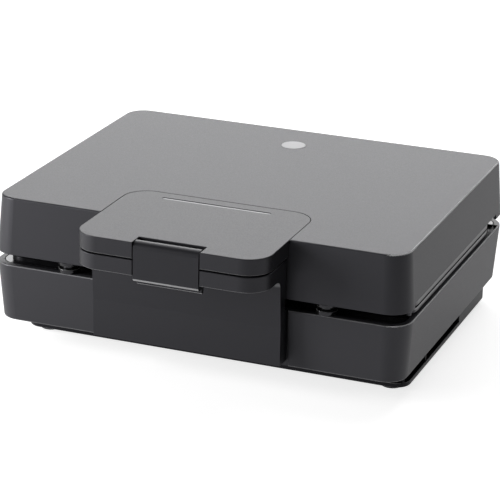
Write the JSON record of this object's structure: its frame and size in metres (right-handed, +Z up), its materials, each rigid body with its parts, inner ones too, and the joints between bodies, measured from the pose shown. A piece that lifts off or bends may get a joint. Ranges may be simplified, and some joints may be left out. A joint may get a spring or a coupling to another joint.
{
  "type": "sandwich maker",
  "caption": "Closed countertop sandwich maker: drafted rectangular base and hinged lid with grill plates, front handle and swinging latch.",
  "frame": {"origin": "on the standing surface, in the middle of the whole outline from the latch to the hinges", "axes": "+Z up, front with the handle towards -Y, +X to the right of someone facing the front"},
  "size_m": [0.34, 0.3288, 0.1239],
  "materials": {
    "housing": "fine matt moulded plastic",
    "handle": "fine matt moulded plastic",
    "latch": "smooth satin plastic",
    "deck": "glossy heat resistant plastic",
    "grill_coating": "cast aluminium with dark non-stick coating",
    "heater_tube": "oxidised steel tube",
    "reflector_sheet": "bright rolled sheet",
    "screw_steel": "zinc plated steel",
    "rubber": "matt rubber",
    "hinge_paint": "black powder coated steel",
    "pin_steel": "turned steel",
    "badge": "satin light grey",
    "indicator": "smoked translucent plastic",
    "lamp_red": "tinted lamp",
    "lamp_green": "tinted lamp",
    "lamp_housing": "white moulded plastic",
    "ceramic": "glazed ceramic",
    "thermostat_steel": "drawn metal cap",
    "lead_sleeve": "braided heat sleeve"
  },
  "bodies": {
    "base": {"base_shell": "housing", "base_deck": "deck", "deck_screws": "screw_steel", "lower_plate": "grill_coating", "lower_plate_screws": "screw_steel", "lower_heater": "heater_tube", "lower_reflector": "reflector_sheet", "lower_reflector_screws": "screw_steel", "lower_thermostat": "thermostat_steel", "thermal_fuse": "thermostat_steel", "lower_handle": "handle", "lower_handle_screws": "screw_steel", "bottom_cover": "housing", "cover_screws": "screw_steel", "foot_front_left": "rubber", "foot_front_right": "rubber", "foot_rear_left": "rubber", "foot_rear_right": "rubber", "terminal_block": "ceramic", "internal_leads": "lead_sleeve", "cord_gland": "rubber", "gland_nut": "screw_steel", "hinge_bracket_left": "hinge_paint", "hinge_bracket_right": "hinge_paint", "hinge_pin_left": "pin_steel", "hinge_pin_right": "pin_steel", "hinge_bracket_screws": "screw_steel", "base_bumper_left": "rubber", "base_bumper_right": "rubber"},
    "lid": {"lid_shell": "housing", "upper_handle": "handle", "upper_handle_screws": "screw_steel", "badge_disc": "badge", "indicator_lens": "indicator", "lamp_tray": "lamp_housing", "power_lamp": "lamp_red", "ready_lamp": "lamp_green", "lid_frame": "deck", "lid_frame_screws": "screw_steel", "upper_plate": "grill_coating", "upper_plate_screws": "screw_steel", "upper_heater": "heater_tube", "upper_reflector": "reflector_sheet", "upper_reflector_screws": "screw_steel", "upper_thermostat": "thermostat_steel", "lid_bumper_left": "rubber", "lid_bumper_right": "rubber", "hinge_leaf_left": "hinge_paint", "hinge_leaf_right": "hinge_paint", "hinge_leaf_screws": "screw_steel", "latch_pin": "pin_steel"},
    "latch": {"latch_clip": "latch"}
  },
  "joints": [
    {"name": "lid_hinge", "type": "hinge", "parent": "base", "child": "lid", "pos_m": [0, 0.1594, 0.07375], "axis": [-1, 0, 0], "range_deg": [0, 100]},
    {"name": "latch_swing", "type": "hinge", "parent": "lid", "child": "latch", "pos_m": [0, -0.1587, 0.1175], "axis": [-1, 0, 0], "range_deg": [0, 80]}
  ]
}
